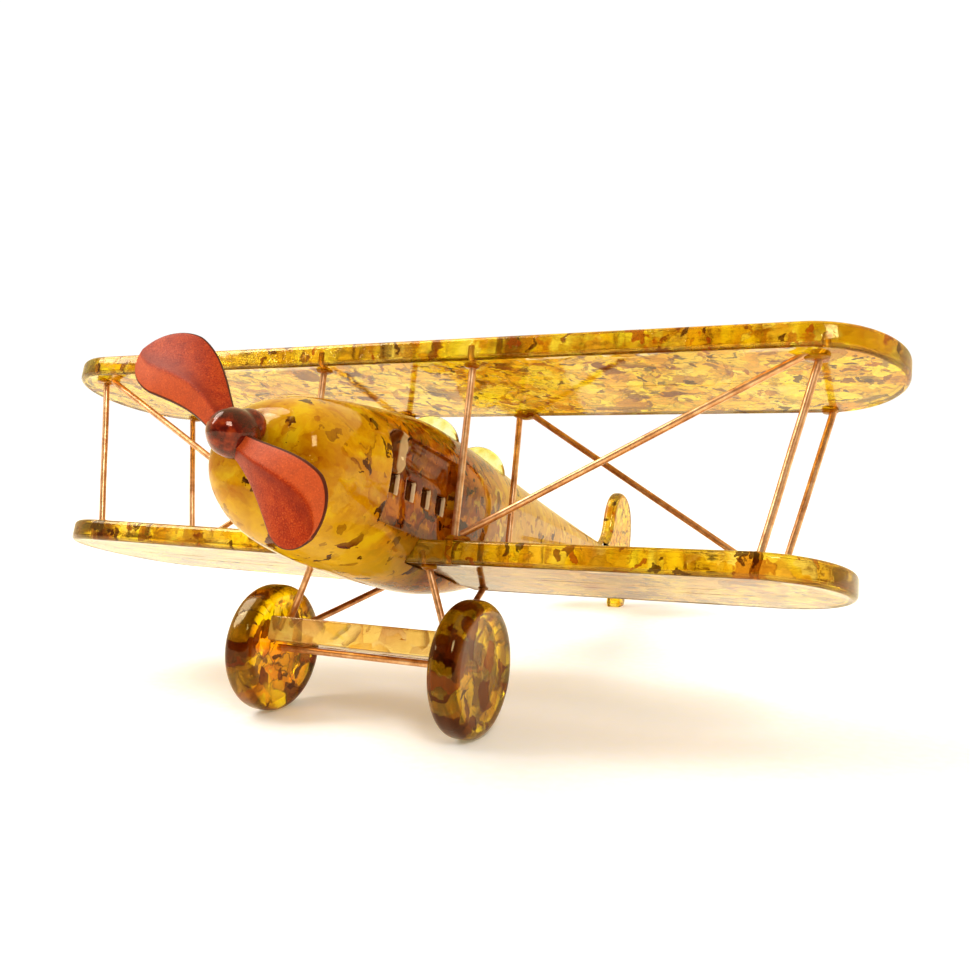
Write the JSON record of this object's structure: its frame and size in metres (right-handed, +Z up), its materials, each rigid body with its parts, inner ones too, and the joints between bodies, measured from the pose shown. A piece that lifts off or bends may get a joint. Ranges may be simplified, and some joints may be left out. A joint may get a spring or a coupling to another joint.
{
  "type": "ornamental biplane model",
  "caption": "Free-standing ornamental biplane carved from mottled amber slabs on thin copper-coloured rods, with a spinning paddle propeller and wheels.",
  "frame": {"origin": "on the ground plane, under the middle of the overall bounding box", "axes": "+Z up; the nose points towards -Y and the port wings towards +X; the model stands on its wheels and tail skid"},
  "size_m": [0.2246, 0.2436, 0.088],
  "materials": {
    "amber_body": "polished",
    "amber_wing": "polished",
    "amber_tail": "polished",
    "amber_wheel": "polished",
    "amber_bar": "polished",
    "amber_screen": "polished, clear",
    "copper_rod": "drawn copper-coated rod",
    "propeller_blade": "satin",
    "propeller_hub": "polished"
  },
  "bodies": {
    "airframe": {"fuselage": "amber_body", "upper_wing": "amber_wing", "port_lower_wing": "amber_wing", "starboard_lower_wing": "amber_wing", "front_windscreen": "amber_screen", "rear_windscreen": "amber_screen", "tail_fin": "amber_tail", "tailplane": "amber_tail", "tail_skid": "amber_tail", "spreader_bar": "amber_bar", "axle": "copper_rod", "propeller_pin": "copper_rod", "port_outer_front_strut": "copper_rod", "starboard_outer_front_strut": "copper_rod", "port_outer_rear_strut": "copper_rod", "starboard_outer_rear_strut": "copper_rod", "port_inner_front_strut": "copper_rod", "starboard_inner_front_strut": "copper_rod", "port_inner_rear_strut": "copper_rod", "starboard_inner_rear_strut": "copper_rod", "port_front_brace": "copper_rod", "starboard_front_brace": "copper_rod", "port_rear_brace": "copper_rod", "starboard_rear_brace": "copper_rod", "port_front_leg": "copper_rod", "starboard_front_leg": "copper_rod", "port_rear_leg": "copper_rod", "starboard_rear_leg": "copper_rod"},
    "propeller": {"propeller_hub": "propeller_hub", "propeller_blade_1": "propeller_blade", "propeller_blade_2": "propeller_blade"},
    "port_wheel": {"port_wheel": "amber_wheel"},
    "starboard_wheel": {"starboard_wheel": "amber_wheel"}
  },
  "joints": [
    {"name": "propeller_spin", "type": "hinge", "parent": "airframe", "child": "propeller", "pos_m": [0, -0.11535, 0.06604], "axis": [0, -0.9583, 0.2857], "continuous": true},
    {"name": "port_wheel_spin", "type": "hinge", "parent": "airframe", "child": "port_wheel", "pos_m": [0.0266, -0.07045, 0.01503], "axis": [1, 0, 0], "continuous": true},
    {"name": "starboard_wheel_spin", "type": "hinge", "parent": "airframe", "child": "starboard_wheel", "pos_m": [-0.0266, -0.07045, 0.01503], "axis": [1, 0, 0], "continuous": true}
  ]
}
